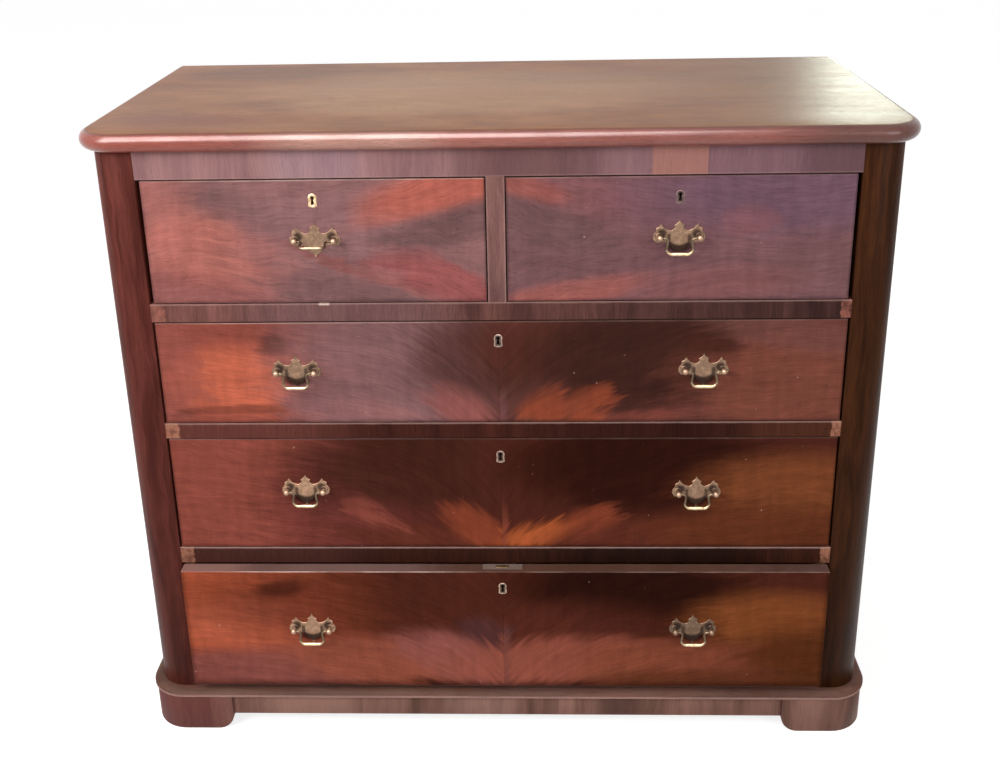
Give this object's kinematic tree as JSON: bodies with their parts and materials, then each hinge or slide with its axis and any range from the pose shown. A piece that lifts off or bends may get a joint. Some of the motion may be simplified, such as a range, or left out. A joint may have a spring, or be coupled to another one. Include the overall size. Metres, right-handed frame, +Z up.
{
  "type": "chest of drawers",
  "caption": "Round-cornered veneered chest of drawers with batwing bail pulls, brass-lined keyholes, a half-round top edge and low bracket feet.",
  "frame": {"origin": "on the floor, at the middle of the footprint", "axes": "+X to the right seen from the front, the front faces -Y, +Z up"},
  "size_m": [1.22, 0.585, 1.039],
  "materials": {
    "veneered_mahogany": "polished flame veneer",
    "mahogany": "old polish, satin",
    "oak": "bare",
    "pine": "bare",
    "brass": "tarnished",
    "iron": "dull"
  },
  "bodies": {
    "carcase": {"top": "mahogany", "left_side": "mahogany", "right_side": "mahogany", "left_stile": "mahogany", "right_stile": "mahogany", "frieze_rail": "veneered_mahogany", "upper_rail": "veneered_mahogany", "middle_rail": "veneered_mahogany", "lower_rail": "veneered_mahogany", "bottom_rail": "veneered_mahogany", "muntin": "veneered_mahogany", "runners_and_stops": "pine", "back_boards": "pine", "bottom_board": "pine", "base_moulding": "mahogany", "plinth": "mahogany", "feet": "mahogany"},
    "short_left_drawer": {"short_left_front": "veneered_mahogany", "short_left_box": "oak", "short_left_bottom": "oak", "short_left_lock_case": "iron", "short_left_escutcheon": "brass", "short_left_pulls": "brass"},
    "short_left_bolt": {"short_left_lock_bolt": "brass"},
    "short_left_bail": {"short_left_bail": "brass"},
    "short_right_drawer": {"short_right_front": "veneered_mahogany", "short_right_box": "oak", "short_right_bottom": "oak", "short_right_lock_case": "iron", "short_right_escutcheon": "brass", "short_right_pulls": "brass"},
    "short_right_bolt": {"short_right_lock_bolt": "brass"},
    "short_right_bail": {"short_right_bail": "brass"},
    "upper_long_drawer": {"upper_long_front": "veneered_mahogany", "upper_long_box": "oak", "upper_long_bottom": "oak", "upper_long_lock_case": "iron", "upper_long_escutcheon": "brass", "upper_long_pulls": "brass"},
    "upper_long_bolt": {"upper_long_lock_bolt": "brass"},
    "upper_long_left_bail": {"upper_long_left_bail": "brass"},
    "upper_long_right_bail": {"upper_long_right_bail": "brass"},
    "middle_long_drawer": {"middle_long_front": "veneered_mahogany", "middle_long_box": "oak", "middle_long_bottom": "oak", "middle_long_lock_case": "iron", "middle_long_escutcheon": "brass", "middle_long_pulls": "brass"},
    "middle_long_bolt": {"middle_long_lock_bolt": "brass"},
    "middle_long_left_bail": {"middle_long_left_bail": "brass"},
    "middle_long_right_bail": {"middle_long_right_bail": "brass"},
    "lower_long_drawer": {"lower_long_front": "veneered_mahogany", "lower_long_box": "oak", "lower_long_bottom": "oak", "lower_long_lock_case": "iron", "lower_long_escutcheon": "brass", "lower_long_pulls": "brass"},
    "lower_long_bolt": {"lower_long_lock_bolt": "brass"},
    "lower_long_left_bail": {"lower_long_left_bail": "brass"},
    "lower_long_right_bail": {"lower_long_right_bail": "brass"}
  },
  "joints": [
    {"name": "short_left_drawer_slide", "type": "slide", "parent": "carcase", "child": "short_left_drawer", "axis": [0, -1, 0], "range_m": [0, 0.36]},
    {"name": "short_left_bolt_throw", "type": "slide", "parent": "short_left_drawer", "child": "short_left_bolt", "axis": [0, 0, 1], "range_m": [0, 0.0065]},
    {"name": "short_left_bail_swing", "type": "hinge", "parent": "short_left_drawer", "child": "short_left_bail", "pos_m": [-0.26637, -0.26553, 0.87575], "axis": [-1, 0, 0], "range_deg": [-100, 110]},
    {"name": "short_right_drawer_slide", "type": "slide", "parent": "carcase", "child": "short_right_drawer", "axis": [0, -1, 0], "range_m": [0, 0.36]},
    {"name": "short_right_bolt_throw", "type": "slide", "parent": "short_right_drawer", "child": "short_right_bolt", "axis": [0, 0, 1], "range_m": [0, 0.0065]},
    {"name": "short_right_bail_swing", "type": "hinge", "parent": "short_right_drawer", "child": "short_right_bail", "pos_m": [0.26637, -0.26553, 0.87575], "axis": [-1, 0, 0], "range_deg": [-15, 195]},
    {"name": "upper_long_drawer_slide", "type": "slide", "parent": "carcase", "child": "upper_long_drawer", "axis": [0, -1, 0], "range_m": [0, 0.36]},
    {"name": "upper_long_bolt_throw", "type": "slide", "parent": "upper_long_drawer", "child": "upper_long_bolt", "axis": [0, 0, 1], "range_m": [0, 0.0065]},
    {"name": "upper_long_left_bail_swing", "type": "hinge", "parent": "upper_long_drawer", "child": "upper_long_left_bail", "pos_m": [-0.31, -0.26553, 0.66425], "axis": [-1, 0, 0], "range_deg": [-15, 195]},
    {"name": "upper_long_right_bail_swing", "type": "hinge", "parent": "upper_long_drawer", "child": "upper_long_right_bail", "pos_m": [0.31, -0.26553, 0.66425], "axis": [-1, 0, 0], "range_deg": [-15, 195]},
    {"name": "middle_long_drawer_slide", "type": "slide", "parent": "carcase", "child": "middle_long_drawer", "axis": [0, -1, 0], "range_m": [0, 0.36]},
    {"name": "middle_long_bolt_throw", "type": "slide", "parent": "middle_long_drawer", "child": "middle_long_bolt", "axis": [0, 0, 1], "range_m": [0, 0.0065]},
    {"name": "middle_long_left_bail_swing", "type": "hinge", "parent": "middle_long_drawer", "child": "middle_long_left_bail", "pos_m": [-0.31, -0.26553, 0.45825], "axis": [-1, 0, 0], "range_deg": [-15, 195]},
    {"name": "middle_long_right_bail_swing", "type": "hinge", "parent": "middle_long_drawer", "child": "middle_long_right_bail", "pos_m": [0.307, -0.26553, 0.45375], "axis": [-1, 0, 0], "range_deg": [-15, 195]},
    {"name": "lower_long_drawer_slide", "type": "slide", "parent": "carcase", "child": "lower_long_drawer", "axis": [0, -1, 0], "range_m": [-0.022, 0.338]},
    {"name": "lower_long_bolt_throw", "type": "slide", "parent": "lower_long_drawer", "child": "lower_long_bolt", "axis": [0, 0, 1], "range_m": [0, 0.0065]},
    {"name": "lower_long_left_bail_swing", "type": "hinge", "parent": "lower_long_drawer", "child": "lower_long_left_bail", "pos_m": [-0.313, -0.28753, 0.21325], "axis": [-1, 0, 0], "range_deg": [-15, 195]},
    {"name": "lower_long_right_bail_swing", "type": "hinge", "parent": "lower_long_drawer", "child": "lower_long_right_bail", "pos_m": [0.307, -0.28753, 0.21325], "axis": [-1, 0, 0], "range_deg": [-15, 195]}
  ]
}
